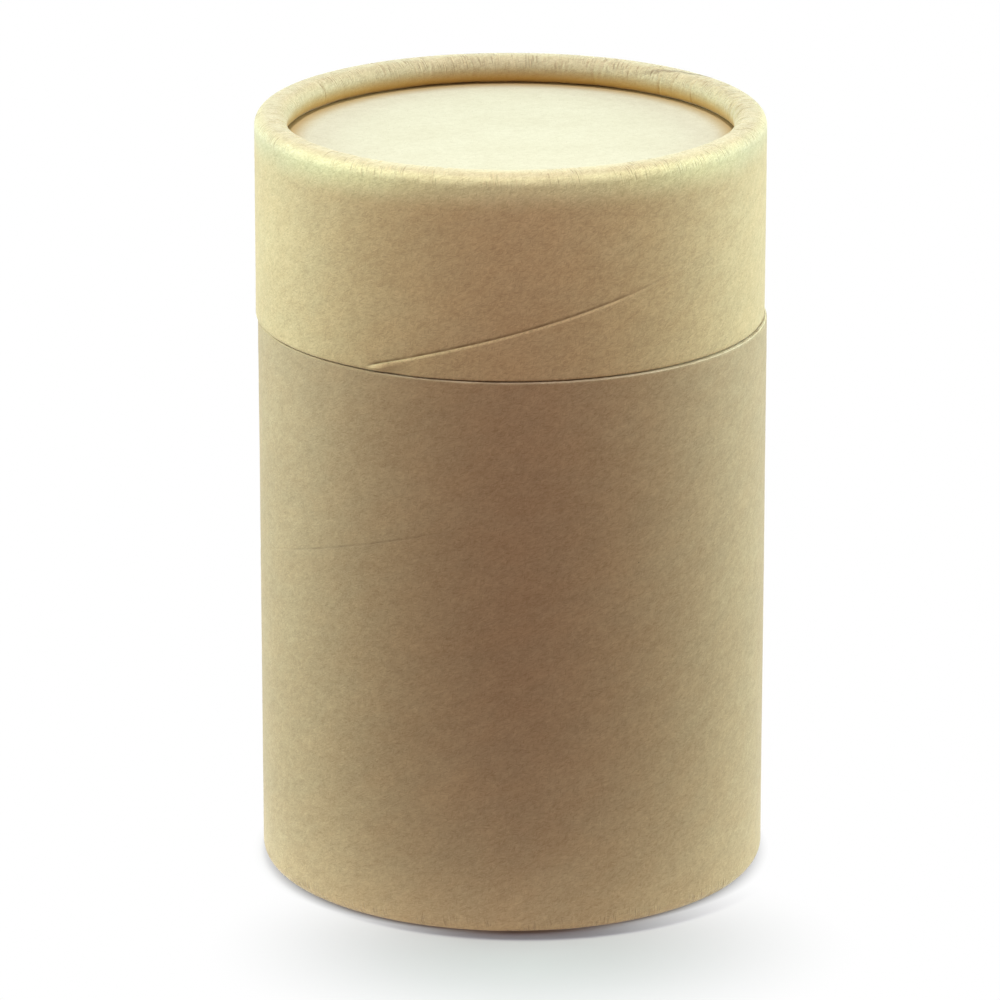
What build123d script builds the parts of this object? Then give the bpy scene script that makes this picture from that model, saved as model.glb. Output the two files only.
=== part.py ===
from build123d import *
import os
from math import cos, radians, sin

# Upright kraft board tube with a lift-off cap, in millimetres
# +Z is up and the origin is the middle of the ring that the tube stands on.
# The body and the cap are spiral-wound board tubes of one outside diameter.
# Each has one edge rolled inward over a flat board disc. A thinner tube is
# glued inside the body, and its upper part is the neck that the cap slides on.

# Main sizes
tube_radius = 40.0          # outside of body and cap
body_height = 89.0          # standing edge to open edge of the body
cap_height = 32.1           # open edge to rolled top of the cap
joint_gap = 0.3             # open line between the cap and the body

# Board thicknesses
body_wall = 1.5             # wound wall of the body tube
liner_wall = 1.2            # wound wall of the inner tube
disc_thickness = 1.8        # flat board of both end discs

# Rolled edges
roll_core_radius = 0.9      # hollow left in the middle of a rolled edge
roll_land = 1.0             # width that the forming tool leaves flat on a roll
roll_bite = 0.15            # how far a disc flattens the roll that it seats on

# Spiral winding
winding_rise = 70.0         # height that the winding gains in one turn
body_seam_height = 67.8     # seam above the body's standing edge, at the front
body_ply_step = 0.08        # height of the ply's edge at the body's seam
cap_seam_height = 7.0       # seam above the cap's open edge, at the front
cap_ply_step = 0.2          # height of the ply's edge at the cap's seam
ply_fade = 2.5              # width over which the lapped ply comes back out

# Fits
glue_gap = 0.1              # board disc or inner tube in the bore that it is glued in
slide_clearance = 0.3       # neck in the cap's bore
neck_clearance = 1.5        # top of the neck under the cap's disc

# Fineness of a roll's outline. The roll is small and the tube is wide, so
# true arcs would make very many facets, and its turns are equal chords.
roll_chord = 22.5           # degrees of turn in one chord of the outside
crease_chord = 90.0         # degrees of turn between two creases of the hollow

# Radii that follow from the fits
body_bore = tube_radius - body_wall
liner_radius = body_bore - glue_gap
cap_bore = liner_radius + slide_clearance
cap_wall = tube_radius - cap_bore


def roll_radius(wall):
    """Outside radius of the roll that a wall of this thickness makes."""
    return roll_core_radius + wall


def seat_depth(wall):
    """Distance from the crown of a roll to the disc that it is pressed on."""
    return 2 * roll_radius(wall) - roll_bite


# Levels that follow from the stack of pieces
cap_open_edge = body_height + joint_gap
total_height = cap_open_edge + cap_height
base_disc_floor = seat_depth(body_wall)
base_disc_top = base_disc_floor + disc_thickness
cap_disc_floor = total_height - seat_depth(cap_wall) - disc_thickness
neck_top = cap_disc_floor - neck_clearance


def turn(centre, radius, start, end, chord):
    """Points of a circular turn from one angle to another, in equal chords."""
    steps = round(abs(end - start) / chord)
    angles = [radians(start + (end - start) * i / steps) for i in range(steps + 1)]
    return [(centre[0] + radius * cos(a), centre[1] + radius * sin(a)) for a in angles]


def rolled_section(wall, height):
    """Half section of a wall that stands on its inward roll, with its cut edge up."""
    outer = roll_radius(wall)
    bore = tube_radius - wall
    heel = (tube_radius - outer, outer)     # centre of the turn from wall to land
    toe = (heel[0] - roll_land, outer)      # centre of the turn from land to tucked end
    outside = turn(heel, outer, 0, -90, roll_chord)
    outside += turn(toe, outer, -90, -270, roll_chord)
    hollow = turn(toe, roll_core_radius, -270, -90, crease_chord)
    hollow += turn(heel, roll_core_radius, -90, 0, crease_chord)
    with BuildSketch(Plane.XZ) as section:
        with BuildLine():
            Polyline((tube_radius, height), *outside, *hollow, (bore, height), close=True)
        make_face()
        with Locations((0, seat_depth(wall))):
            Rectangle(bore - glue_gap, disc_thickness, align=(Align.MIN, Align.MIN), mode=Mode.SUBTRACT)
    return section.sketch


def rolled_tube(wall, height):
    """Tube that stands on its rolled edge, with the roll flattened by its disc."""
    return revolve(rolled_section(wall, height), Axis.Z)


def half_winding(ply_step):
    """Helical wedge, half a turn long, whose lower side is the edge of a ply.

    Its upper side slopes out to the wall, as the ply that the edge laps does.
    """
    overshoot = ply_step                    # how far the wedge reaches outside the wall
    run = ply_fade * (ply_step + overshoot) / ply_step
    with BuildSketch(Plane.XZ) as wedge:
        with BuildLine():
            Polyline(
                (tube_radius - ply_step, 0),
                (tube_radius + overshoot, 0),
                (tube_radius + overshoot, run),
                close=True,
            )
        make_face()
    path = Helix(pitch=winding_rise, height=winding_rise / 2, radius=tube_radius)
    return sweep(wedge.sketch, path, is_frenet=True)


def wound(tube, ply_step, seam_height, low, high):
    """The tube between two levels, with the edge of its outer ply standing out.

    The seam is at seam_height where the tube faces -Y, and climbs to the right.
    """
    wedge = half_winding(ply_step)
    half_rise = winding_rise / 2
    below = 2 + (seam_height - low) // half_rise
    start = seam_height - below * half_rise
    while start < high:
        facing = -90 + 360 * (start - seam_height) / winding_rise
        tube = tube - Pos(0, 0, start) * Rot(0, 0, facing) * wedge
        start += half_rise
    return tube


def standing_at(level, part):
    """A part that is centred on the origin, lifted so that it stands at this level."""
    return Pos(0, 0, level - part.bounding_box().min.Z) * part


def body_tube():
    tube = rolled_tube(body_wall, body_height)
    return wound(tube, body_ply_step, body_seam_height, 0, body_height)


def inner_tube():
    height = neck_top - base_disc_top
    tube = Cylinder(liner_radius, height) - Cylinder(liner_radius - liner_wall, height)
    return standing_at(base_disc_top, tube)


def base_disc():
    return standing_at(base_disc_floor, Cylinder(body_bore - glue_gap, disc_thickness))


def cap_tube():
    """A shorter rolled tube turned over, so that its roll is the rim of the cap."""
    tube = Pos(0, 0, total_height) * Rot(180, 0, 0) * rolled_tube(cap_wall, cap_height)
    return wound(tube, cap_ply_step, cap_open_edge + cap_seam_height, cap_open_edge, total_height)


def cap_disc():
    return standing_at(cap_disc_floor, Cylinder(cap_bore - glue_gap, disc_thickness))


pieces = {
    "body_tube": body_tube(),
    "inner_tube": inner_tube(),
    "base_disc": base_disc(),
    "cap_tube": cap_tube(),
    "cap_disc": cap_disc(),
}

os.makedirs("parts", exist_ok=True)
for name, piece in pieces.items():
    export_step(piece, f"parts/{name}.step")
    print(name, "volume", round(piece.volume, 1), "valid", piece.is_valid)
print("height", total_height, "neck above body", neck_top - body_height)
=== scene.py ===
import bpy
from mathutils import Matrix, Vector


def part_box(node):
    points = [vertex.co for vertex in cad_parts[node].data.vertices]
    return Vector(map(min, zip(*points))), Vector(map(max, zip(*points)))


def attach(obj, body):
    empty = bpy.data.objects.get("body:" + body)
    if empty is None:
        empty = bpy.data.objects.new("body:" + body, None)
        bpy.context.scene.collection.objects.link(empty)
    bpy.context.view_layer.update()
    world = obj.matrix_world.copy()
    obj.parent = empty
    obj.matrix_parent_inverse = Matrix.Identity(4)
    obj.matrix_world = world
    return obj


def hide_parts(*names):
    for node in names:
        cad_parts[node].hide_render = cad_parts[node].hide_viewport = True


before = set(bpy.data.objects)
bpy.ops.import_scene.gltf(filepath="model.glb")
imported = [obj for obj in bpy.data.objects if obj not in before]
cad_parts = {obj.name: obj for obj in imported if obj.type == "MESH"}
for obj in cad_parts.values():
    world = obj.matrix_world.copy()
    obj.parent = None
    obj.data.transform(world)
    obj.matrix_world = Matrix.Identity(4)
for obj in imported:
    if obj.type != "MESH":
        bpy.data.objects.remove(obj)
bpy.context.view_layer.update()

from math import ceil, cos, floor, pi, radians, sin

import bpy
import numpy as np
from mathutils import Vector

# Kraft board tube pack: the looks of a spiral-wound tube with a lift-off cap
# Lengths are in millimetres up to the studio, and become metres when a mesh is made.
# An angle round the tube is 0 where it faces -Y and grows to the right.
MM = 0.001


def node_box(node):
    """Lowest and highest corner of a CAD node, in millimetres."""
    low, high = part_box(node)
    return low / MM, high / MM


# Sizes read from the frame
body_low, body_high = node_box("body_tube")
cap_low, cap_high = node_box("cap_tube")
liner_low, liner_high = node_box("inner_tube")
base_low, base_high = node_box("base_disc")
top_low, top_high = node_box("cap_disc")
tube_radius = body_high.x
liner_radius = liner_high.x

# Board and rolled edges, as in the CAD
glue_gap = 0.1
body_wall = tube_radius - base_high.x - glue_gap
cap_wall = tube_radius - top_high.x - glue_gap
liner_wall = 1.2
roll_core = 0.9
roll_land = 1.0
plies = 4

# Winding, with the height of each seam where the tube faces -Y
winding_rise = 70.0
body_seam = 67.8
body_second_seam = body_seam - 3.1
body_third_seam = body_seam + 0.46 * winding_rise
cap_seam = cap_low.z + 7.0
cap_second_seam = cap_seam + winding_rise / 2
liner_seam = 101.5
liner_inner_seam = liner_seam - 25.0

# Height of the ply's edge at each seam
body_step = 0.018
cap_step = 0.19
liner_step = 0.05
liner_inner_step = 0.03

# Room that the looks keep inside the CAD sizes
wall_inset = 0.24           # mean outside face of the walls
crown_inset = 0.05          # crown of a rolled edge
liner_inset = 0.06          # mean face of the neck
clear = 0.01                # least room to the CAD's outside
disc_seat = 0.02            # roll above the disc that it is pressed on
disc_inset = 0.07           # mean face of a disc
disc_bevel = 0.25           # worn corner of a disc
disc_play = 0.02            # room round a disc

# How the pieces sit
cap_shift = -0.16           # the cap sits a little to the left on its neck
body_shift = 0.14
paper_overhang = 0.13       # how far the cap's outer paper reaches below its board

# Cut edges: height of the worn outer corner, and its depth
cap_corner = 0.50
cap_corner_depth = 0.27
body_corner = 0.42
liner_corner = 0.2
inner_corner = 0.15         # height and depth of the corner on the bore
ply_groove = 0.04

# The cap's wall out of round, with its open edge sprung out at the left
cap_oval = 0.030
cap_oval_turn = 0.6
sprung_angle = -1.40
sprung_width = 0.85
sprung_out = 0.11
drawn_in = 0.05             # all round the open edge
sprung_height = 6.0
crease_clusters = 54        # groups of fine creases round its roll

# The cap's outer ply, by the length along its strip from the front
torn_at = -22.6             # lower end, torn away just above the open edge
closed_at = 19.5            # from here on the seam hardly stands open
torn_tip_angle = -0.505     # where the torn end is lifted off
torn_tip_lift = 0.16
dent_angle = -0.475         # dent in the open edge beside it
dent_depth = 0.20
dent_rise = 0.6             # its middle, above the open edge
scar_width = 2.2            # of the tip and the dent

# Fineness of the meshes
body_columns = 240
cap_columns = 320
liner_columns = 128
disc_columns = 192
disc_rings = 36
creases_per_column = 4      # extra columns of the rim for each one of the cap's wall
rows_per_quarter = 8
row_pull = 0.85             # how far rows crowd towards the seam, and up to where
row_pull_reach = 0.9
sharp_turn = radians(38)


def wrapped(angle):
    """The same angle between -pi and pi."""
    return (angle + pi) % (2 * pi) - pi


def clouds(seed, width, height, low, high):
    """A smooth random field on the flattened board, from about -1 to 1.

    Its cells are this wide and high, and it repeats once round the tube.
    """
    around = max(4, round(2 * pi * tube_radius / width))
    rows = ceil((high - low) / height) + 2
    lattice = np.random.default_rng(seed).uniform(-1.0, 1.0, (rows, around))

    def value(angle, level):
        across = (angle / (2 * pi)) % 1.0 * around
        up = np.clip((level - low) / height, 0, rows - 1.001)
        column = np.floor(across).astype(int)
        row = np.floor(up).astype(int)
        u = across - column
        v = up - row
        u = u * u * (3 - 2 * u)
        v = v * v * (3 - 2 * v)
        left = column % around
        right = (column + 1) % around
        lower = lattice[row, left] * (1 - u) + lattice[row, right] * u
        upper = lattice[row + 1, left] * (1 - u) + lattice[row + 1, right] * u
        return lower * (1 - v) + upper * v

    return value


# Random fields of the board, in mm of relief when scaled
cap_waves = clouds(11, 21.0, 13.0, 60, 140)
cap_ripples = clouds(12, 7.0, 3.2, 60, 140)
cap_edge_waves = clouds(13, 9.0, 200.0, 0, 200)
cap_edge_nicks = clouds(14, 1.8, 200.0, 0, 200)
seam_waves = clouds(15, 10.0, 200.0, 0, 200)
body_waves = clouds(21, 24.0, 17.0, -20, 100)
body_ripples = clouds(22, 8.0, 4.0, -20, 100)
body_edge_waves = clouds(23, 11.0, 200.0, 0, 200)
body_edge_nicks = clouds(24, 2.0, 200.0, 0, 200)
liner_waves = clouds(31, 22.0, 19.0, 0, 130)
pucker_waves = clouds(41, 2.4, 9.0, 60, 140)
wide_puckers = clouds(42, 6.5, 14.0, 60, 140)
body_puckers = clouds(43, 3.4, 9.0, -20, 20)
edge_level = 100            # any level serves for the fields of an edge


def above_seam(angle, level, seam):
    """Height above the nearest turn of the seam, negative below it."""
    climb = level - seam - winding_rise * angle / (2 * pi)
    return (climb + winding_rise / 2) % winding_rise - winding_rise / 2


def ply_edge(above, step, fade=2.2):
    """Outward shift beside the edge of the outer ply.

    The ply below bulges towards its edge and rounds over at it, and the ply
    above dips in behind it and comes back out.
    """
    under = np.minimum(above, 0)
    below = step * (0.55 * np.exp(under / 1.4) - 0.80 * np.exp(under / 0.22))
    over = -step * 0.9 * np.exp(-np.maximum(above, 0) / fade)
    return np.where(is_below(above), below, over)


def is_below(above):
    """Whether a place is on the seam or below it."""
    return above <= 1e-4


def faint_line(above, height, width):
    """A low smooth ridge where an inner ply's edge shows through."""
    return height * np.tanh(above / width) * np.exp(-np.abs(above) / (5 * width))


def rim_creases(seed):
    """Places and sizes of the fine creases across the cap's roll, in clusters."""
    random = np.random.default_rng(seed)
    found = []
    for _ in range(crease_clusters):
        middle = random.uniform(-pi, pi)
        for _ in range(random.integers(2, 7)):
            found.append({
                "angle": middle + random.normal(0, 0.045),
                "lean": random.normal(0, 0.12),
                "depth": random.uniform(0.10, 0.30),
                "width": random.uniform(0.16, 0.30),
                "from": random.uniform(2.2, 6.0),
                "length": random.uniform(1.6, 5.0),
            })
    return found


creases = rim_creases(5)


def crease_relief(angle, along):
    """Depth of the creases; along is the length from the top of the cap's wall."""
    total = np.zeros_like(along)
    for crease in creases:
        middle = crease["from"] + crease["length"] / 2
        lean = crease["lean"] * (along - middle)
        across = wrapped(angle - crease["angle"]) * tube_radius - lean
        reach = np.clip(1 - (2 * (along - middle) / crease["length"]) ** 2, 0, 1)
        valley = np.exp(-np.abs(across) / crease["width"])
        shoulder = 0.35 * np.exp(-(across / (2.5 * crease["width"])) ** 2)
        total -= crease["depth"] * reach * (valley - shoulder)
    return total


def cap_out_of_round(angle, height):
    """Outward shift of the cap's wall, whose open edge is sprung out at the left."""
    left = np.exp(-(wrapped(angle - sprung_angle) / sprung_width) ** 2)
    low = np.exp(-np.maximum(height - cap_low.z, 0) / sprung_height)
    return cap_oval * np.cos(2 * angle + cap_oval_turn) + (sprung_out * left - drawn_in) * low


def cap_seam_opening(along):
    """How far the cap's seam stands open: well at the left, hardly from the right on.

    Its edge is torn away just before it would meet the open edge of the cap.
    """
    open_left = 0.08 + 0.92 / (1 + np.exp((along - closed_at) / 2.2))
    return open_left / (1 + np.exp(-(along - torn_at) / 0.4))


def seam_drift(angle, above, to_end):
    """How far the cap's cut paper strays from a true winding, near its edge."""
    stray = 0.14 * seam_waves(angle, edge_level) * np.clip(to_end / 1.5, 0, 1)
    return stray * np.exp(-np.abs(above) / 3.0)


def cap_relief(angle, level):
    """Outward shift of the cap's face on the flattened board."""
    above = above_seam(angle, level, cap_seam)
    shift = ply_edge(above, cap_step * cap_seam_opening(tube_radius * angle))
    shift += faint_line(above_seam(angle, level, cap_second_seam), 0.018, 0.35)
    shift += 0.020 * cap_waves(angle, level) + 0.008 * cap_ripples(angle, level)
    from_tip = (angle - torn_tip_angle) * tube_radius
    tip = np.exp(-(from_tip / scar_width) ** 2) * np.exp(np.minimum(above, 0) / 0.5)
    tip = tip * is_below(above)
    from_dent = (angle - dent_angle) * tube_radius
    from_middle = level - cap_low.z - dent_rise
    dent = np.exp(-(from_dent / scar_width) ** 2 - (from_middle / 0.8) ** 2)
    return shift + torn_tip_lift * tip - dent_depth * dent


def body_relief(angle, level):
    """Outward shift of the body's face on the flattened board."""
    shift = ply_edge(above_seam(angle, level, body_seam), body_step)
    shift += faint_line(above_seam(angle, level, body_second_seam), 0.012, 0.3)
    shift += faint_line(above_seam(angle, level, body_third_seam), 0.010, 0.4)
    return shift + 0.022 * body_waves(angle, level) + 0.008 * body_ripples(angle, level)


def angles(columns):
    """Equal angles round the tube, starting at the back."""
    return -pi + 2 * pi * np.arange(columns) / columns


class Shell:
    """A closed skin made of rings round the axis, each joined to the next.

    A ring's points are at equal angles. Its level is the height along the
    board's face, which runs on over a rolled edge as if the board lay flat.
    The map called strip gives, in millimetres, the length along the wound
    strip of paper and the distance across it, so grain follows the winding.
    """

    def __init__(self, seam, shift=0.0):
        self.seam = seam
        self.shift = shift
        self.points = []
        self.rings = []
        self.faces = []
        self.strip = []
        self.finishes = []

    def ring(self, columns, radius, height, level):
        """Adds a ring and returns its number."""
        angle = angles(columns)
        radius = radius + np.zeros(columns)
        height = height + np.zeros(columns)
        spot = [radius * np.sin(angle) + self.shift, -radius * np.cos(angle), height]
        first = sum(len(block) for block in self.points)
        self.points.append(np.stack(spot, axis=1))
        self.rings.append((first, columns, level + np.zeros(columns)))
        return len(self.rings) - 1

    def join(self, lower, upper, finish, split=False):
        """Joins two rings; one may have a whole number of points to each of the other's."""
        first_a, count_a, level_a = self.rings[lower]
        first_b, count_b, level_b = self.rings[upper]
        count = min(count_a, count_b)
        share_a = count_a // count
        share_b = count_b // count
        start = np.arange(count)[:, None]
        along_a = share_a * start + np.arange(share_a + 1)
        along_b = share_b * start + np.arange(share_b + 1)[::-1]
        corner = np.concatenate([first_a + along_a % count_a, first_b + along_b % count_b], axis=1)
        turn = np.concatenate([along_a / count_a, along_b / count_b], axis=1) * 2 * pi - pi
        level = np.concatenate([level_a[along_a % count_a], level_b[along_b % count_b]], axis=1)
        if split:
            self.patch(corner[:, [0, 1, 2]], turn[:, [0, 1, 2]], level[:, [0, 1, 2]], finish)
            self.patch(corner[:, [0, 2, 3]], turn[:, [0, 2, 3]], level[:, [0, 2, 3]], finish)
        else:
            self.patch(corner, turn, level, finish)

    def join_all(self, numbers, finish, split=False):
        """Joins each ring of a list to the next."""
        for lower, upper in zip(numbers, numbers[1:]):
            self.join(lower, upper, finish, split)

    def close(self, number, finish, facing):
        """Closes a small ring with one face that looks up (1) or down (-1)."""
        first, count, level = self.rings[number]
        around = np.arange(count)[::facing]
        turn = around / count * 2 * pi - pi
        self.patch((first + around)[None, :], turn[None, :], level[around][None, :], finish)

    def patch(self, corner, turn, level, finish):
        """Keeps faces with their places on the wound strip."""
        across = level - self.seam - winding_rise * turn / (2 * pi)
        lap = np.floor(across.mean(axis=1, keepdims=True) / winding_rise)
        along = tube_radius * (turn + 2 * pi * lap)
        self.faces.extend(corner.tolist())
        self.strip.append(np.stack([along, across - winding_rise * lap], axis=2).reshape(-1, 2))
        self.finishes.append(np.full(len(corner), finish))

    def build(self, name, finishes):
        """The mesh object, smooth but for the edges of plies and cuts."""
        mesh = bpy.data.meshes.new(name)
        points = np.concatenate(self.points) * MM
        mesh.from_pydata(points.tolist(), [], self.faces)
        strip = mesh.uv_layers.new(name="strip")
        strip.uv.foreach_set("vector", np.concatenate(self.strip).astype(np.float32).ravel())
        mesh.polygons.foreach_set("material_index", np.concatenate(self.finishes).astype(np.int32))
        for material in finishes:
            mesh.materials.append(material)
        mesh.shade_smooth()
        mesh.set_sharp_from_angle(angle=sharp_turn)
        mesh.update()
        return in_scene(name, mesh)


def in_scene(name, data):
    """A new object of the scene."""
    made = bpy.data.objects.new(name, data)
    bpy.context.scene.collection.objects.link(made)
    return made


def winding_rows(low, high, seam, columns):
    """Heights of a wall's rows, ring by ring from low to high.

    A row rises by as much as the seam does in one column, so the seam runs
    along corners of the grid. Rows crowd towards the seam to draw its edge.
    """
    step = winding_rise / columns
    back = seam - winding_rise / 2
    numbers = np.arange(ceil((low - back) / step + 0.5), floor((high - back) / step - 0.5) + 1)
    level = back + numbers * step
    half = columns // 2
    offset = (numbers[:, None] - np.arange(columns)[None, :] + half) % columns - half
    distance = np.abs(offset) * step
    pull = -np.sign(offset) * row_pull * distance * np.exp(-distance / row_pull_reach)
    from_end = np.minimum(level - low, high - level)[:, None]
    rows = level[:, None] + pull * np.clip(from_end / 1.0, 0, 1)
    ends = np.ones(columns)
    return np.vstack([low * ends, rows, high * ends])


def roll_outline(wall):
    """The outside of a roll from the wall to the tucked end, row by row.

    It is pressed squarer where it is tucked under, against the disc.
    Gives the distance from the axis, the depth below the crown, the length
    along the board and the direction that the face looks in.
    """
    radius = roll_core + wall
    heel = tube_radius - radius
    outer = np.linspace(0, pi / 2, rows_per_quarter + 1)
    inner = np.linspace(pi / 2, 3 * pi / 2, 2 * rows_per_quarter + 1)
    turn = np.concatenate([outer, [pi / 2], inner])
    land = np.concatenate([np.zeros(len(outer)), [0.5], np.ones(len(inner))]) * roll_land
    swing = np.where(turn > pi, -np.sqrt(np.abs(np.cos(turn))), np.cos(turn))
    reach = heel - land + radius * swing
    depth = radius - radius * np.sin(turn)
    return reach, depth, radius * turn + land, turn


def hollow_outline(wall):
    """The hollow inside a roll from its tucked end back to the wall's bore."""
    radius = roll_core + wall
    heel = tube_radius - radius
    back = np.linspace(3 * pi / 2, pi / 2, 9)
    out = np.linspace(pi / 2, 0, 5)
    turn = np.concatenate([back, out])
    land = np.concatenate([np.ones(len(back)), np.zeros(len(out))]) * roll_land
    return heel - land + roll_core * np.cos(turn), radius - roll_core * np.sin(turn)


def roll_inset(turn):
    """How far a roll's face is inside the CAD's, from the wall to the crown."""
    return wall_inset + (crown_inset - wall_inset) * sin(min(turn, pi / 2))


def tucked_share(along):
    """How far the puckers have grown, from the start of the roll to its inner side."""
    return min(max((along - 2.0) / 4.0, 0), 1)


def cut_edge(shell, columns, inner, outer, height, facing, level, corner):
    """The cut end of a wound wall, with round corners and grooves between its plies.

    corner is the height and the depth of the outer corner. facing is 1 for an
    edge that looks up, which runs inward, and -1 for one that looks down,
    which runs outward. The outer paper laps over the outer corner. Gives the
    numbers of the rings.
    """
    corner_height, corner_depth = corner
    wall = float(np.mean(outer - inner))
    flat = wall - inner_corner - corner_depth
    stations = []
    for turn in np.linspace(0, pi / 2, 8)[1:]:
        stations.append((corner_depth * (1 - cos(turn)), corner_height * (1 - sin(turn))))
    for share in np.linspace(0, 1, 3 * plies + 2)[1:-1]:
        groove = ply_groove * abs(cos(plies * pi * share)) ** 6
        stations.append((corner_depth + flat * share, groove))
    for turn in np.linspace(pi / 2, 0, 4):
        stations.append((wall - inner_corner * (1 - cos(turn)), inner_corner * (1 - sin(turn))))
    if facing < 0:
        stations.reverse()
    numbers = [shell.ring(columns, outer - a, height - facing * b, level) for a, b in stations]
    papered = range(len(numbers) - 6, len(numbers)) if facing < 0 else range(1, 3)
    for number, (a, b) in enumerate(zip(numbers, numbers[1:]), 1):
        shell.join(a, b, PAPER if number in papered else RAW)
    return numbers


# Places of the materials in each piece's list
PAPER = 0
RAW = 1


def cap_shell(finishes):
    """The cap's wound wall, its rolled rim and the hollow in the roll."""
    columns = cap_columns
    fine = columns * creases_per_column
    angle = angles(columns)
    fine_angle = angles(fine)
    shell = Shell(cap_seam, cap_shift)
    reach, depth, along, turn = roll_outline(cap_wall)
    junction = cap_high.z - depth[0]
    seat = top_high.z + disc_seat
    edge_rise = 0.015 * (1 + cap_edge_waves(angle, edge_level))
    edge_rise += 0.015 * (1 + cap_edge_nicks(angle, edge_level)) - paper_overhang
    low = cap_low.z + cap_corner
    high = junction - 0.2

    wall = []
    for heights in winding_rows(low, high, cap_seam, columns):
        near_edge = np.exp(-(heights - low) / 0.8)
        to_end = np.minimum(heights - low, high - heights)
        drift = seam_drift(angle, above_seam(angle, heights, cap_seam), to_end)
        z = heights + edge_rise * near_edge + drift
        radius = tube_radius - wall_inset + cap_out_of_round(angle, z) + cap_relief(angle, heights)
        wall.append(shell.ring(columns, radius, z, heights))
    shell.join_all(wall, PAPER, split=True)

    outside = []
    for r, d, a, t in zip(reach, depth, along, turn):
        level = junction + a
        relief = cap_relief(fine_angle, level + np.zeros(fine))
        relief += crease_relief(fine_angle, a + np.zeros(fine))
        puckers = 0.035 * pucker_waves(fine_angle, level) + 0.055 * wide_puckers(fine_angle, level)
        shift = relief + tucked_share(a) * puckers - roll_inset(t)
        shift = np.minimum(shift, -clear) if t < pi else shift
        oval = cap_out_of_round(fine_angle, junction) * (t < pi / 2 + 0.1)
        z = np.maximum(cap_high.z - d + shift * sin(t), seat)
        outside.append(shell.ring(fine, r + shift * cos(t) + oval, z, level))
    shell.join(wall[-1], outside[0], PAPER)
    shell.join_all(outside, PAPER)

    hollow = []
    for r, d in zip(*hollow_outline(cap_wall)):
        hollow.append(shell.ring(columns, r, max(cap_high.z - d, seat + 0.05), junction))
    shell.join(outside[-1], hollow[0], RAW)
    shell.join_all(hollow, PAPER)

    bore = tube_radius - cap_wall
    inside = [hollow[-1]]
    for share in np.linspace(0.2, 1, 5):
        z = (junction + (cap_low.z - junction) * share) + edge_rise * (share == 1)
        inside.append(shell.ring(columns, bore + cap_out_of_round(angle, z) * share, z, z))
    shell.join_all(inside, PAPER)
    flare = cap_out_of_round(angle, cap_low.z)
    outer = tube_radius - wall_inset + flare + cap_relief(angle, low + np.zeros(columns))
    height = cap_low.z + edge_rise
    corner = (cap_corner, cap_corner_depth)
    edge = cut_edge(shell, columns, bore + flare, outer, height, -1, cap_low.z, corner)
    shell.join(inside[-1], edge[0], RAW)
    shell.join(edge[-1], wall[0], PAPER)
    return shell.build("cap_shell", finishes)


def body_shell(finishes):
    """The body's wound wall, which stands on its roll, with its cut edge on top."""
    columns = body_columns
    angle = angles(columns)
    shell = Shell(body_seam, body_shift)
    reach, depth, along, turn = roll_outline(body_wall)
    junction = depth[0]
    seat = base_low.z - disc_seat
    edge_drop = 0.012 * (1 + body_edge_waves(angle, edge_level))
    edge_drop += 0.015 * (1 + body_edge_nicks(angle, edge_level))
    high = body_high.z - body_corner

    outside = []
    for r, d, a, t in reversed(list(zip(reach, depth, along, turn))):
        level = junction - a
        puckers = 0.05 * body_puckers(angle, level)
        relief = body_relief(angle, level + np.zeros(columns))
        shift = np.minimum(relief + tucked_share(a) * puckers - roll_inset(t), -clear)
        z = np.minimum(d - shift * sin(t), seat)
        outside.append(shell.ring(columns, r + shift * cos(t), z, level))
    shell.join_all(outside, PAPER)

    wall = []
    for heights in winding_rows(junction + 0.2, high, body_seam, columns):
        z = heights - edge_drop * np.exp(-(high - heights) / 0.8)
        radius = tube_radius - wall_inset + body_relief(angle, heights)
        wall.append(shell.ring(columns, radius, z, heights))
    shell.join(outside[-1], wall[0], PAPER)
    shell.join_all(wall, PAPER, split=True)

    bore = tube_radius - body_wall
    outer = tube_radius - wall_inset + body_relief(angle, high + np.zeros(columns))
    worn_depth = 0.28 + 0.15 * np.tanh(np.sin(angle + 0.34) / 0.25)     # deeper at the right
    height = body_high.z - edge_drop
    edge = cut_edge(shell, columns, bore, outer, height, 1, body_high.z, (body_corner, worn_depth))
    shell.join(wall[-1], edge[0], PAPER)
    inside = [edge[-1]]
    for share in np.linspace(1, 0, 6)[:-1]:
        z = junction + (body_high.z - 0.3 - junction) * share
        inside.append(shell.ring(columns, bore, z, z))
    for r, d in reversed(list(zip(*hollow_outline(body_wall)))):
        inside.append(shell.ring(columns, r, min(d, seat - 0.05), junction))
    shell.join_all(inside, PAPER)
    shell.join(inside[-1], outside[0], RAW)
    return shell.build("body_shell", finishes)


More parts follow.
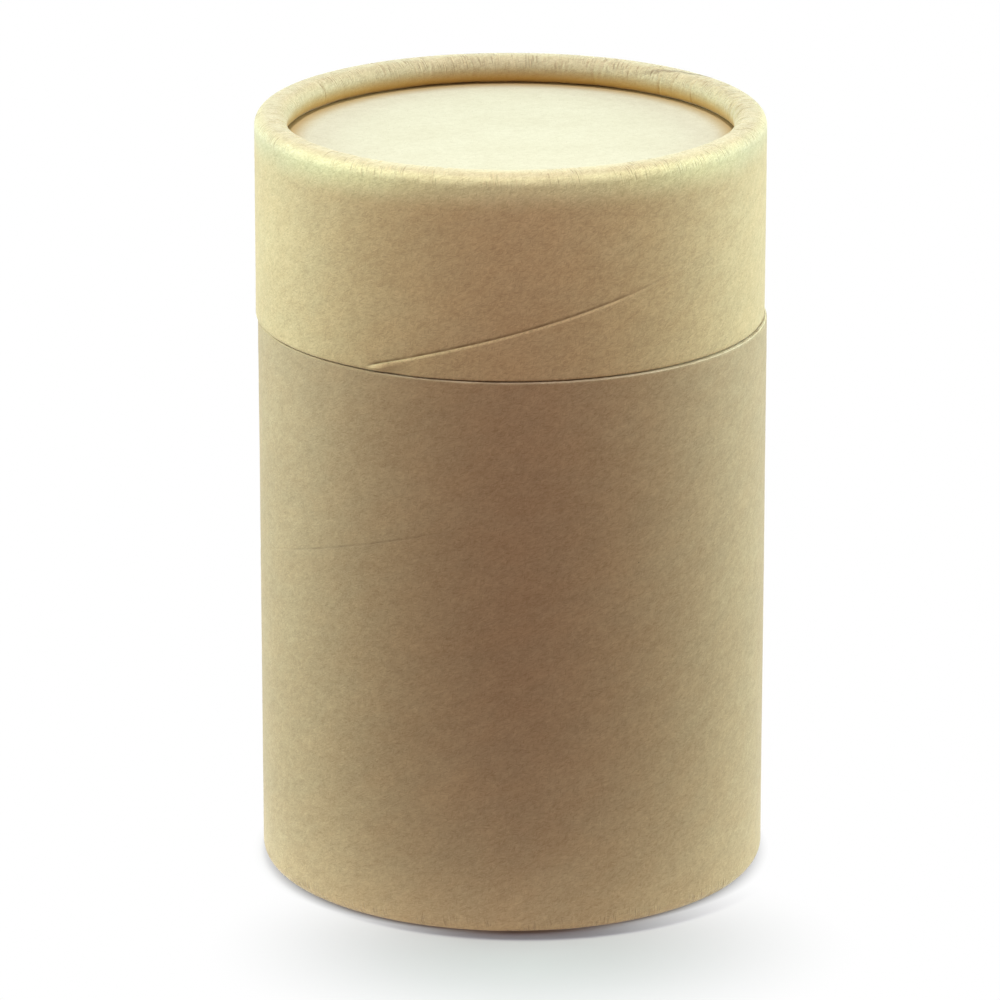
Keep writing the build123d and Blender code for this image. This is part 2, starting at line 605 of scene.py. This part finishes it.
def neck_shell(finishes):
    """The inner tube, glued in the body, whose upper part is the neck of the cap."""
    columns = liner_columns
    angle = angles(columns)
    shell = Shell(liner_seam)
    corner = (liner_corner, liner_corner)
    bore = liner_radius - liner_wall
    outer = liner_radius - liner_inset
    low = liner_low.z + liner_corner
    high = liner_high.z - liner_corner
    wall = []
    for heights in winding_rows(low, high, liner_seam, columns):
        relief = ply_edge(above_seam(angle, heights, liner_seam), liner_step)
        relief += 0.012 * liner_waves(angle, heights)
        radius = np.minimum(outer + relief, liner_radius - clear)
        wall.append(shell.ring(columns, radius, heights, heights))
    shell.join_all(wall, PAPER, split=True)
    top = cut_edge(shell, columns, bore, outer, liner_high.z, 1, liner_high.z, corner)
    shell.join(wall[-1], top[0], PAPER)
    inside = [top[-1]]
    for share in np.linspace(1, 0, 12):
        z = liner_low.z + 0.3 + (liner_high.z - liner_low.z - 0.6) * share
        above = above_seam(angle, z + np.zeros(columns), liner_inner_seam)
        inside.append(shell.ring(columns, bore - ply_edge(above, liner_inner_step), z, z))
    shell.join_all(inside, PAPER)
    foot = cut_edge(shell, columns, bore, outer, liner_low.z, -1, liner_low.z, corner)
    shell.join(inside[-1], foot[0], RAW)
    shell.join(foot[-1], wall[0], PAPER)
    return shell.build("neck_shell", finishes)


def board_disc(name, low, high, seed, shift, finishes):
    """A flat pressed board disc with a faint cockle, worn at its cut edge."""
    columns = disc_columns
    radius = high.x - abs(shift) - disc_play
    flat = radius - disc_bevel
    middle = 0.8                # radius of the one face that closes each side
    under_face = low.z + disc_inset
    over_face = high.z - disc_inset
    sag = clouds(seed, 60.0, 14.0, 0, 60)
    grain = clouds(seed + 1, 30.0, 6.0, 0, 60)
    angle = angles(columns)
    shell = Shell(0.0, shift)

    def cockle(reach):
        level = reach + np.zeros(columns)
        calm = min(reach / 12.0, 1.0) * min((radius - reach) / 5.0, 1.0)
        return (0.045 * sag(angle, level) + 0.02 * grain(angle, level)) * max(calm, 0.0)

    over = []
    for reach in np.linspace(flat, middle, disc_rings):
        over.append(shell.ring(columns, reach, over_face + cockle(reach), reach))
    under = []
    for reach in np.linspace(middle, flat, disc_rings):
        under.append(shell.ring(columns, reach, under_face - cockle(reach), reach))
    side = []
    for share in np.linspace(0, 1, 9)[1:-1]:
        bulge = disc_bevel * (1 - (2 * share - 1) ** 6)
        z = under_face + (over_face - under_face) * share
        side.append(shell.ring(columns, flat + bulge, z, z))
    shell.join_all(over, PAPER)
    shell.join_all(under, PAPER)
    shell.close(over[-1], PAPER, 1)
    shell.close(under[0], PAPER, -1)
    shell.join_all([under[-1]] + side + [over[0]], RAW)
    return shell.build(name, finishes)


def times(colour, factors):
    """A colour with each part multiplied, as a shader takes it."""
    return (*(part * factor for part, factor in zip(colour, factors)), 1)


class Nodes:
    """A node tree that is built node by node."""

    def __init__(self, tree):
        self.tree = tree
        self.tree.nodes.clear()

    def add(self, kind, settings=None, **inputs):
        """Adds a node, sets its own settings and links or fills its inputs."""
        node = self.tree.nodes.new(kind)
        for key, value in (settings or {}).items():
            setattr(node, key, value)
        for key, value in inputs.items():
            socket = self.socket(node, key)
            if isinstance(value, bpy.types.NodeSocket):
                self.tree.links.new(value, socket)
            else:
                socket.default_value = value
        return node

    @staticmethod
    def socket(node, key):
        """An input named as in the node, with _ for a space, or numbered as i0, i1."""
        if key[0] == "i" and key[1:].isdigit():
            return node.inputs[int(key[1:])]
        return node.inputs[key.replace("_", " ")]

    def math(self, operation, *values):
        named = {f"i{number}": value for number, value in enumerate(values)}
        return self.add("ShaderNodeMath", {"operation": operation}, **named).outputs[0]

    def product(self, first, *others):
        """Values multiplied one after another."""
        for other in others:
            first = self.math("MULTIPLY", first, other)
        return first

    def noise(self, place, stretch, turn=0.0, detail=3.0, rough=0.55, distortion=0.0):
        """Noise whose cells have these sizes in mm, turned by an angle in the strip's plane."""
        mapped = self.add(
            "ShaderNodeMapping",
            {"vector_type": "TEXTURE"},
            Vector=place,
            Rotation=(0, 0, turn),
            Scale=(stretch[0], stretch[1], stretch[0]),
        )
        made = self.add(
            "ShaderNodeTexNoise",
            Vector=mapped.outputs[0],
            Scale=1.0,
            Detail=detail,
            Roughness=rough,
            Distortion=distortion,
        )
        return made.outputs[0]

    def span(self, value, low, high, to_low=0.0, to_high=1.0):
        """The value stretched from one range to another, clamped and eased."""
        made = self.add(
            "ShaderNodeMapRange",
            {"interpolation_type": "SMOOTHSTEP"},
            Value=value,
            From_Min=low,
            From_Max=high,
            To_Min=to_low,
            To_Max=to_high,
        )
        return made.outputs[0]

    def mix(self, share, first, second, blend="MIX"):
        """Two colours mixed."""
        settings = {"data_type": "RGBA", "blend_type": blend}
        return self.add("ShaderNodeMix", settings, i0=share, i6=first, i7=second).outputs[2]

    def weighed(self, parts):
        """A sum of noises about 0.5, each with its own weight."""
        total = 0.5
        for value, weight in parts:
            part = self.math("MULTIPLY", self.span(value, 0.2, 0.8, -0.5, 0.5), weight)
            total = self.math("ADD", part, total)
        return total

    def parts(self, vector):
        """The three parts of a vector."""
        return self.add("ShaderNodeSeparateXYZ", Vector=vector).outputs

    def vector(self, operation, *values, **inputs):
        """A vector node of this operation."""
        named = {f"i{number}": value for number, value in enumerate(values)}
        return self.add("ShaderNodeVectorMath", {"operation": operation}, **named, **inputs)

    def length(self, vector):
        return self.vector("LENGTH", vector).outputs["Value"]

    def from_axis(self, spot):
        """Distance from the tube's axis."""
        parts = self.parts(spot)
        flat = self.add("ShaderNodeCombineXYZ", X=parts[0], Y=parts[1])
        return self.length(flat.outputs[0])

    def object_spot(self):
        """Place on the object in millimetres."""
        spot = self.add("ShaderNodeTexCoord").outputs["Object"]
        return self.vector("SCALE", spot, Scale=1 / MM).outputs[0]

    def fibres(self, place, courses, width):
        """Short fibres: the strongest of several stretched noises, each in its own direction."""
        strongest = 0.0
        for length, turn in courses:
            course = self.noise(place, (length, width), turn=turn, detail=1.0, distortion=0.25)
            strongest = self.math("MAXIMUM", self.span(course, 0.56, 0.74), strongest)
        return strongest


class Finish(Nodes):
    """A procedural material."""

    def __init__(self, name):
        self.material = bpy.data.materials.new(name)
        self.material.use_nodes = True
        super().__init__(self.material.node_tree)

    def surface(self, colour, roughness, height, depth, specular, sheen=0.0):
        """The board's shader, with relief of this depth in mm."""
        bump = self.add("ShaderNodeBump", Strength=1.0, Distance=depth * MM, Height=height)
        shader = self.add(
            "ShaderNodeBsdfPrincipled",
            Base_Color=colour,
            Roughness=roughness,
            Specular_IOR_Level=specular,
            Sheen_Weight=sheen,
            Sheen_Roughness=0.35,
            Normal=bump.outputs[0],
        )
        self.add("ShaderNodeOutputMaterial", Surface=shader.outputs[0])
        return self.material


def kraft(name, pale, deep, seam_dark, shown, edge_highlight=0.0, roll=None, crown=None):
    """Wound kraft paper: clouded pulp, short fibres, flecks and a seam line of painted shade.

    shown has the lengths along the strip at which the seam's painted dark side fades
    in, is full, starts to fade out and is faint. edge_highlight is the strength of the
    painted highlight on the outer ply's cut edge and of the painted shade under its
    tip, where it shows. A roll's two levels, in mm, are where its fine creases start
    and where they are at their full strength; the creases are darkened with painted
    shade, the folds between them lit with painted highlights, and the same levels
    place a painted warm bounce light on the roll's inner side. A crown's two levels
    are where the painted highlight on the crown starts and where it is strongest.
    """
    finish = Finish(name)
    place = finish.add("ShaderNodeUVMap", {"uv_map": "strip"}).outputs[0]
    bright = times(pale, (1.25, 1.27, 1.3))
    dull = times(deep, (0.66, 0.62, 0.58))
    seam_shade = times(deep, (0.42, 0.36, 0.30))
    # Tone of the painted bounce light under a roll
    bounced_gold = times(deep, (1.10, 0.86, 0.30))
    bark = (0.05, 0.032, 0.018, 1)

    blotch = finish.noise(place, (19.0, 12.0), detail=2.0)
    mottle = finish.noise(place, (4.2, 2.7), turn=-0.3, detail=2.0, distortion=0.2)
    clumps = finish.noise(place, (1.9, 1.3), turn=0.2, detail=3.0, rough=0.6, distortion=0.3)
    grain = finish.noise(place, (0.62, 0.40), turn=-0.1, detail=2.0, rough=0.6)
    tooth = finish.noise(place, (0.20, 0.17), detail=1.0)
    light_fibre = finish.fibres(place, ((1.5, 0.1), (1.1, 0.9), (1.2, -0.55)), 0.19)
    dark_fibre = finish.fibres(place, ((1.4, 0.3), (1.2, -0.25), (0.9, 1.4)), 0.21)

    share = finish.weighed(((blotch, 0.30), (mottle, 0.30), (clumps, 0.50), (grain, 0.54)))
    colour = finish.mix(share, (*deep, 1), (*pale, 1))
    hue = finish.span(finish.noise(place, (8.0, 5.0), detail=3.0), 0.3, 0.7)
    tint = finish.mix(hue, (1.014, 0.995, 0.98, 1), (0.987, 1.005, 1.018, 1))
    colour = finish.mix(1.0, colour, tint, "MULTIPLY")
    colour = finish.mix(finish.math("MULTIPLY", light_fibre, 0.34), colour, bright)
    colour = finish.mix(finish.math("MULTIPLY", dark_fibre, 0.40), colour, dull)
    colour = finish.mix(flecks(finish, place), colour, bark)

    # Painted shade in the crevice above the seam's ply edge
    line = seam_line(finish, place, seam_dark, shown)
    if edge_highlight:
        line = finish.math("MAXIMUM", line, scuffed_seam(finish, place, seam_dark))
    colour = finish.mix(line, colour, seam_shade)
    if edge_highlight:
        # Painted highlight on the outer ply's cut edge and lifted tip, and painted shade under the
        # tip
        colour = ply_edge_light_and_shade(finish, colour, place, dull, edge_highlight)

    height = finish.weighed(((clumps, 0.28), (grain, 0.30), (light_fibre, 0.18), (tooth, 0.20)))
    if crown:
        # Painted highlight on the roll's crown
        colour = painted_crown_highlight(finish, colour, crown)
    if roll:
        crease, fold = roll_creases(finish, place, roll)
        height = finish.math("SUBTRACT", height, finish.math("MULTIPLY", crease, 2.4))
        height = finish.math("ADD", height, finish.math("MULTIPLY", fold, 1.2))
        # Painted shade in the creases and painted highlights on the folds between them
        colour = finish.mix(finish.math("MULTIPLY", crease, 0.55), colour, dull)
        colour = finish.mix(finish.math("MULTIPLY", fold, 0.30), colour, bright)
        # Painted warm bounce light in the shade on the roll's inner side
        colour = finish.mix(bounce_under_roll(finish, roll), colour, bounced_gold)
    roughness = finish.span(clumps, 0.2, 0.8, 0.68, 0.60)
    return finish.surface(colour, roughness, height, depth=0.03, specular=0.36, sheen=0.22)


def flecks(finish, place):
    """Sparse dark specks of bark, 0.1 to 0.3 mm wide."""
    pitch = (11.0, 8.0, 8.0)
    share_left_out = 0.78
    strength = 0.75
    mapping = {"vector_type": "TEXTURE"}
    mapped = finish.add("ShaderNodeMapping", mapping, Vector=place, Scale=pitch)
    cells = finish.add("ShaderNodeTexVoronoi", Vector=mapped.outputs[0], Scale=1.0)
    chosen = finish.add("ShaderNodeSeparateColor", Color=cells.outputs["Color"])
    size = finish.span(chosen.outputs[1], 0.0, 1.0, 0.008, 0.026)
    near = finish.math("LESS_THAN", cells.outputs["Distance"], size)
    present = finish.math("GREATER_THAN", chosen.outputs[0], share_left_out)
    return finish.product(near, present, strength)


def seam_line(finish, place, weight, shown):
    """Painted shade in the crevice just above the seam, as a dark line broken in places."""
    along, across, _ = finish.parts(place)
    above = finish.span(across, 0.04, 0.12)
    band = finish.product(finish.span(across, 0.22, 0.62, 1.0, 0.0), above)
    # Breaks in the painted shade line
    worn = finish.span(finish.noise(place, (3.0, 6.0), detail=3.0), 0.3, 0.62, 0.35, 1.0)
    rising = finish.span(along, *shown[:2])
    fading = finish.product(rising, finish.span(along, *shown[2:], 1.0, 0.12))
    return finish.product(band, worn, fading, weight)


def scuffed_seam(finish, place, weight):
    """A frayed soft line where the seam runs over the cap's rim, at the back right."""
    along, across, _ = finish.parts(place)
    scuffs = finish.noise(place, (0.38, 0.9), turn=-0.45, detail=3.0, rough=0.75, distortion=0.8)
    wander = finish.span(finish.noise(place, (2.6, 2.6), detail=2.0), 0.3, 0.7, -1.85, -1.35)
    aside = finish.math("ABSOLUTE", finish.math("ADD", across, wander))
    beside = finish.span(aside, 0.06, 0.56, 1.0, 0.0)
    ragged = finish.product(finish.span(scuffs, 0.26, 0.50), beside)
    reached = finish.span(along, 84.0, 88.0)
    return finish.product(ragged, reached, finish.span(along, 93.0, 104.0, weight, 0.0))


def ply_edge_light_and_shade(finish, colour, place, dull, weight):
    """The colour with a painted highlight on the cut edge of the cap's outer ply, just below the
    seam.

    The edge is torn at its lower end; its lifted tip gets a painted highlight and a painted shade
    lies under it. The strip counts one turn of winding back there.
    """
    parts = finish.parts(place)
    past = finish.math("ADD", parts[0], 2 * pi * tube_radius)
    under = finish.math("SUBTRACT", parts[1], winding_rise)
    # Tone of the painted highlight on the ply's edge and its lifted tip
    torn = (0.9, 0.68475, 0.3825, 1)

    def between(rise, fall):
        """The weight along the strip, between where it rises and where it falls."""
        return finish.product(finish.span(past, *rise), finish.span(past, *fall, weight, 0.0))

    shown = between((-23.6, -21.4), (12.0, 25.0))
    frayed = finish.span(finish.noise(place, (0.5, 0.35), detail=3.0), 0.36, 0.56, 0.3, 0.9)
    # Painted highlight where the ply's raised edge catches the light
    lip = finish.product(finish.span(under, -0.42, -0.20), frayed, shown)
    colour = finish.mix(lip, colour, torn)

    # Painted highlight on the lifted tip
    end = between((-23.8, -22.4), (-21.2, -19.4))
    lifted = finish.product(end, finish.span(under, -0.75, -0.40))
    colour = finish.mix(lifted, colour, torn)

    # Painted shade under the lifted tip
    beside = between((-22.6, -20.8), (-19.0, -14.5))
    below_edge = finish.span(under, -0.80, -0.45, 1.0, 0.0)
    hollow = finish.product(beside, finish.span(under, -2.6, -1.3), below_edge)
    return finish.mix(hollow, colour, dull)


def painted_crown_highlight(finish, colour, levels):
    """The colour made paler up to a roll's crown as a painted highlight, most of all on the outer
    side in front.
    """
    crown_top = (120.5, 121.2)
    front_to_side = (-34.0, -12.0)
    all_round = (0.97, 1.12, 1.28, 1)
    in_front = (1.35, 1.68, 1.79, 1)
    _, back, level = finish.parts(finish.object_spot())
    outer_side = finish.span(level, *crown_top, 1.0, 0.2)
    front = finish.product(finish.span(back, *front_to_side, 1.0, 0.0), outer_side)
    # Tint of the painted highlight
    tinted = finish.mix(front, all_round, in_front)
    return finish.mix(finish.span(level, *levels), colour, tinted, "MULTIPLY")


def bounce_under_roll(finish, levels):
    """How far a face lies on the inner side of a roll, where a painted warm bounce light fills its
    shade.
    """
    inner_side = (36.9, 37.4)
    spot = finish.object_spot()
    level = finish.parts(spot)[2]
    inside = finish.span(finish.from_axis(spot), *inner_side, 0.9, 0.0)
    down = 1.0 if levels[0] < levels[1] else -1.0
    low = finish.span(level, levels[0] - 1.1 * down, levels[0] + 1.6 * down, 1.0, 0.0)
    return finish.product(inside, low)


def roll_creases(finish, place, levels):
    """Fine creases that cross a roll, in clusters, and the folds between them, from 0 to 1."""
    on_roll = finish.span(finish.parts(finish.object_spot())[2], *levels)
    line = finish.noise(place, (0.24, 3.4), turn=0.12, detail=1.0, distortion=0.1)
    cluster = finish.noise(place, (5.5, 6.0), detail=2.0)
    share = finish.product(finish.span(cluster, 0.36, 0.56), on_roll)
    crease = finish.product(finish.span(line, 0.56, 0.70), share)
    fold = finish.product(finish.span(line, 0.30, 0.44, 1.0, 0.0), share)
    return crease, fold


def cut_board(name, pale, deep):
    """The cut end of a wound wall: raw grey-brown plies with darker glue lines."""
    ply_pitch = 0.37
    brown = (0.44, 0.31, 0.18, 1)
    finish = Finish(name)
    spot = finish.object_spot()
    fuzz = finish.noise(spot, (0.5, 0.5), detail=3.0)
    reach = finish.math("ADD", finish.from_axis(spot), finish.math("MULTIPLY", fuzz, 0.12))
    wave = finish.math("SINE", finish.math("MULTIPLY", reach, 2 * pi / ply_pitch))
    glue = finish.span(wave, 0.55, 1.0, 0.0, 0.6)
    colour = finish.mix(finish.span(fuzz, 0.3, 0.7), (*deep, 1), (*pale, 1))
    colour = finish.mix(glue, colour, times(deep, (0.55, 0.5, 0.45)))
    # Browner towards the left as painted shade, where the cap overhangs the joint, and in random
    # patches
    shade_at_left = finish.span(finish.parts(spot)[0], -24.0, -9.0, 0.92, 0.0)
    tinted = finish.span(finish.noise(spot, (5.0, 5.0), detail=3.0), 0.35, 0.65, 0.05, 0.55)
    colour = finish.mix(finish.math("MAXIMUM", shade_at_left, tinted), colour, brown)
    return finish.surface(colour, 0.85, fuzz, depth=0.04, specular=0.25)


def pressed_board(name, pale, deep):
    """Flat board of the discs: fine even pulp with short fibres, with painted brown shade near the
    roll.
    """
    near_roll = (31.0, 35.2)
    brown = (0.36, 0.235, 0.085, 1)
    finish = Finish(name)
    spot = finish.object_spot()
    blotch = finish.noise(spot, (14.0, 10.0), detail=2.0)
    clumps = finish.noise(spot, (1.9, 1.4), turn=0.4, detail=3.0, rough=0.6, distortion=0.3)
    grain = finish.noise(spot, (0.6, 0.45), detail=2.0)
    dark_fibre = finish.fibres(spot, ((1.3, 0.5), (1.1, -0.6), (1.0, 1.5)), 0.2)
    share = finish.weighed(((clumps, 0.5), (blotch, 0.4), (grain, 0.4)))
    colour = finish.mix(share, (*deep, 1), (*pale, 1))
    dull = times(deep, (0.75, 0.7, 0.65))
    colour = finish.mix(finish.math("MULTIPLY", dark_fibre, 0.3), colour, dull)
    # Painted shade: browner near the roll, where the roll shades the disc and its brown is bounced
    # onto it
    roll_shade = finish.math("MULTIPLY", finish.span(finish.from_axis(spot), *near_roll), 0.9)
    colour = finish.mix(roll_shade, colour, brown)
    height = finish.weighed(((clumps, 0.4), (grain, 0.3)))
    roughness = finish.span(clumps, 0.2, 0.8, 0.80, 0.72)
    return finish.surface(colour, roughness, height, depth=0.03, specular=0.14)


# Studio, in metres

def aimed_light(name, place, target, size, watts, colour):
    """A soft rectangular lamp of this width and height at a place, turned to a target."""
    lamp = bpy.data.lights.new(name, "AREA")
    lamp.shape = "RECTANGLE"
    lamp.size, lamp.size_y = size
    lamp.energy = watts
    lamp.color = colour
    holder = in_scene(name, lamp)
    holder.location = place
    holder.visible_camera = False
    holder.rotation_euler = (Vector(target) - Vector(place)).to_track_quat("-Z", "Y").to_euler()


def white_floor():
    """A plain pale floor that keeps the object's shadow and turns pure white further out.

    The light that it throws back on the object is dim and warm, as off a small table.
    """
    white = (1, 1, 1, 1)
    near_glow = (0.80, 0.79, 0.76, 1)
    far_glow = (0.28, 0.185, 0.165, 1)
    foot_light = (1.0, 0.93, 0.82, 1)
    core_shade = (0.30, 0.275, 0.315, 1)
    shade = (0.40, 0.387, 0.392, 1)

    # Distances from the axis between which each of them changes
    beside_foot = (0.0375, 0.0430)
    core_edge = (0.0414, 0.0426)
    foot_edge = (0.042, 0.047)
    glow_edge = (0.052, 0.076)

    finish = Finish("white_floor")
    spot = finish.add("ShaderNodeTexCoord").outputs["Object"]
    reach = finish.length(spot)
    rays = finish.add("ShaderNodeLightPath").outputs
    seen = finish.math("MAXIMUM", rays["Is Camera Ray"], rays["Is Glossy Ray"])
    seen = finish.math("MAXIMUM", seen, rays["Is Transmission Ray"])

    # White outside an oval in front of the object, and close beside it
    mapping = {"vector_type": "TEXTURE"}
    oval = finish.add("ShaderNodeMapping", mapping, Vector=spot, Location=(0.003, -0.045, 0))
    oval.inputs["Scale"].default_value = (0.045, 0.035, 1.0)
    outside = finish.length(oval.outputs[0])
    beside = finish.length(finish.vector("MULTIPLY", spot, (1.035, 1.0, 1.0)).outputs[0])
    close = finish.span(beside, *beside_foot)
    far = finish.math("MINIMUM", finish.span(outside, 0.15, 1.15), close)

    # The shadow's dark core is seen a little to the right of the foot
    cast = finish.length(finish.vector("SUBTRACT", spot, (0.0022, 0.0, 0.0)).outputs[0])
    ground = finish.mix(finish.span(cast, *core_edge), core_shade, shade)
    glow = finish.mix(finish.span(reach, *glow_edge), near_glow, far_glow)
    near = finish.add("ShaderNodeBsdfDiffuse", Color=finish.mix(seen, glow, ground))
    # Painted light: near the foot the floor glows warm for diffuse light and lights the object's
    # foot as a lamp would
    unseen = finish.math("SUBTRACT", 1.0, seen)
    under = finish.product(finish.span(reach, *foot_edge, 0.55, 0.0), unseen)
    foot = finish.add("ShaderNodeEmission", Color=foot_light, Strength=under)
    near = finish.add("ShaderNodeAddShader", i0=near.outputs[0], i1=foot.outputs[0])
    plain = finish.add("ShaderNodeEmission", Color=white, Strength=1.0)
    share = finish.product(far, seen)
    both = finish.add("ShaderNodeMixShader", Fac=share, i1=near.outputs[0], i2=plain.outputs[0])
    finish.add("ShaderNodeOutputMaterial", Surface=both.outputs[0])

    mesh = bpy.data.meshes.new("floor")
    side = 4.0
    corners = [(-side, -side, 0), (side, -side, 0), (side, side, 0), (-side, side, 0)]
    mesh.from_pydata(corners, [], [(0, 1, 2, 3)])
    mesh.materials.append(finish.material)
    floor_plane = in_scene("floor", mesh)


def white_world():
    """White where it is seen. On the object it is bright behind and dim and warm in front."""
    front_to_back = (-0.55, 0.65)
    warm = (1.0, 0.74, 0.78, 1)
    cool = (0.90, 1.0, 1.04, 1)
    world = bpy.data.worlds.new("studio")
    world.use_nodes = True
    bpy.context.scene.world = world
    room = Nodes(world.node_tree)
    direction = room.add("ShaderNodeTexCoord").outputs["Generated"]
    back = room.parts(direction)[1]
    colour = room.mix(room.span(back, *front_to_back), warm, cool)
    level = room.span(back, *front_to_back, 0.17, 0.83)
    light = room.add("ShaderNodeBackground", Color=colour, Strength=level)
    white = room.add("ShaderNodeBackground", Color=(1, 1, 1, 1), Strength=1.0)
    rays = room.add("ShaderNodeLightPath").outputs
    seen = room.math("MAXIMUM", rays["Is Camera Ray"], rays["Is Transmission Ray"])
    both = room.add("ShaderNodeMixShader", Fac=seen, i1=light.outputs[0], i2=white.outputs[0])
    room.add("ShaderNodeOutputWorld", Surface=both.outputs[0])


def studio():
    """Soft lamps beside and above the object, a little behind it, and a dim one in front."""
    middle = (0, 0, 0.065)
    front_rim = (0, -0.03, 0.115)
    side_tint = (0.71, 0.98, 0.86)
    top_tint = (0.98, 0.98, 1.0)
    front_tint = (1.0, 0.99, 0.93)
    side = (0.45, 0.4)
    spot = (0.022, 0.022)
    strip = (0.34, 0.05)
    aimed_light("left_softbox", (-0.52, 0.13, 0.19), middle, side, 4.95, side_tint)
    aimed_light("right_softbox", (0.51, 0.16, 0.19), middle, side, 5.05, side_tint)
    aimed_light("top_lamp", (-0.043, 0.0, 2.50), middle, spot, 44.0, top_tint)
    aimed_light("front_strip", (0.0, -0.13, 0.21), front_rim, strip, 0.15, front_tint)


def photograph_camera():
    """The camera at the photograph's angle, with no shift."""
    distance = 1.000
    height = 0.3715
    sideways = -0.0018
    pitch = 0.3037
    image = 1000
    focal_pixels = 6643.5
    data = bpy.data.cameras.new("camera")
    data.sensor_width = 36.0
    data.lens = data.sensor_width * focal_pixels / image
    data.clip_start = 0.01
    data.clip_end = 20
    camera = in_scene("camera", data)
    camera.location = (sideways, -distance, height)
    camera.rotation_euler = (pi / 2 - pitch, 0, 0)
    bpy.context.scene.camera = camera


# Finishes
outer_kraft = kraft(
    "kraft_outer",
    pale=(0.44, 0.305, 0.17),
    deep=(0.325, 0.212, 0.112),
    seam_dark=0.34,
    shown=(-44.0, -37.0, -18.0, -8.0),
    roll=(3.4, 1.6),
)
cap_kraft = kraft(
    "kraft_cap",
    pale=(0.57, 0.415, 0.225),
    deep=(0.43, 0.298, 0.153),
    seam_dark=0.85,
    shown=(-23.6, -21.4, 12.0, 26.0),
    edge_highlight=0.55,
    roll=(118.6, 120.6),
    crown=(115.0, 119.6),
)
liner_kraft = kraft(
    "kraft_liner",
    pale=(0.49, 0.36, 0.21),
    deep=(0.38, 0.265, 0.145),
    seam_dark=0.35,
    shown=(-23.6, -21.4, 14.0, 30.0),
)
disc_board = pressed_board("kraft_disc", pale=(0.565, 0.53, 0.41), deep=(0.505, 0.465, 0.345))
raw_edge = cut_board("kraft_cut_edge", pale=(0.80, 0.68, 0.50), deep=(0.68, 0.55, 0.38))
disc_finishes = [disc_board, raw_edge]

# Pieces, each with its body, the node that it replaces and its material's slot
pieces = [
    (body_shell([outer_kraft, raw_edge]), "tube", "body_tube", "kraft_outer"),
    (neck_shell([liner_kraft, raw_edge]), "tube", "inner_tube", "kraft_liner"),
    (
        board_disc("base_board", base_low, base_high, 51, body_shift, disc_finishes),
        "tube",
        "base_disc",
        "kraft_disc",
    ),
    (cap_shell([cap_kraft, raw_edge]), "cap", "cap_tube", "kraft_cap"),
    (
        board_disc("top_board", top_low, top_high, 61, cap_shift, disc_finishes),
        "cap",
        "cap_disc",
        "kraft_disc",
    ),
]
for piece, body, node, slot in pieces:
    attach(piece, body)
    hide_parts(node)

# Studio
white_floor()
white_world()
studio()
photograph_camera()
bpy.context.scene.view_settings.view_transform = "Standard"
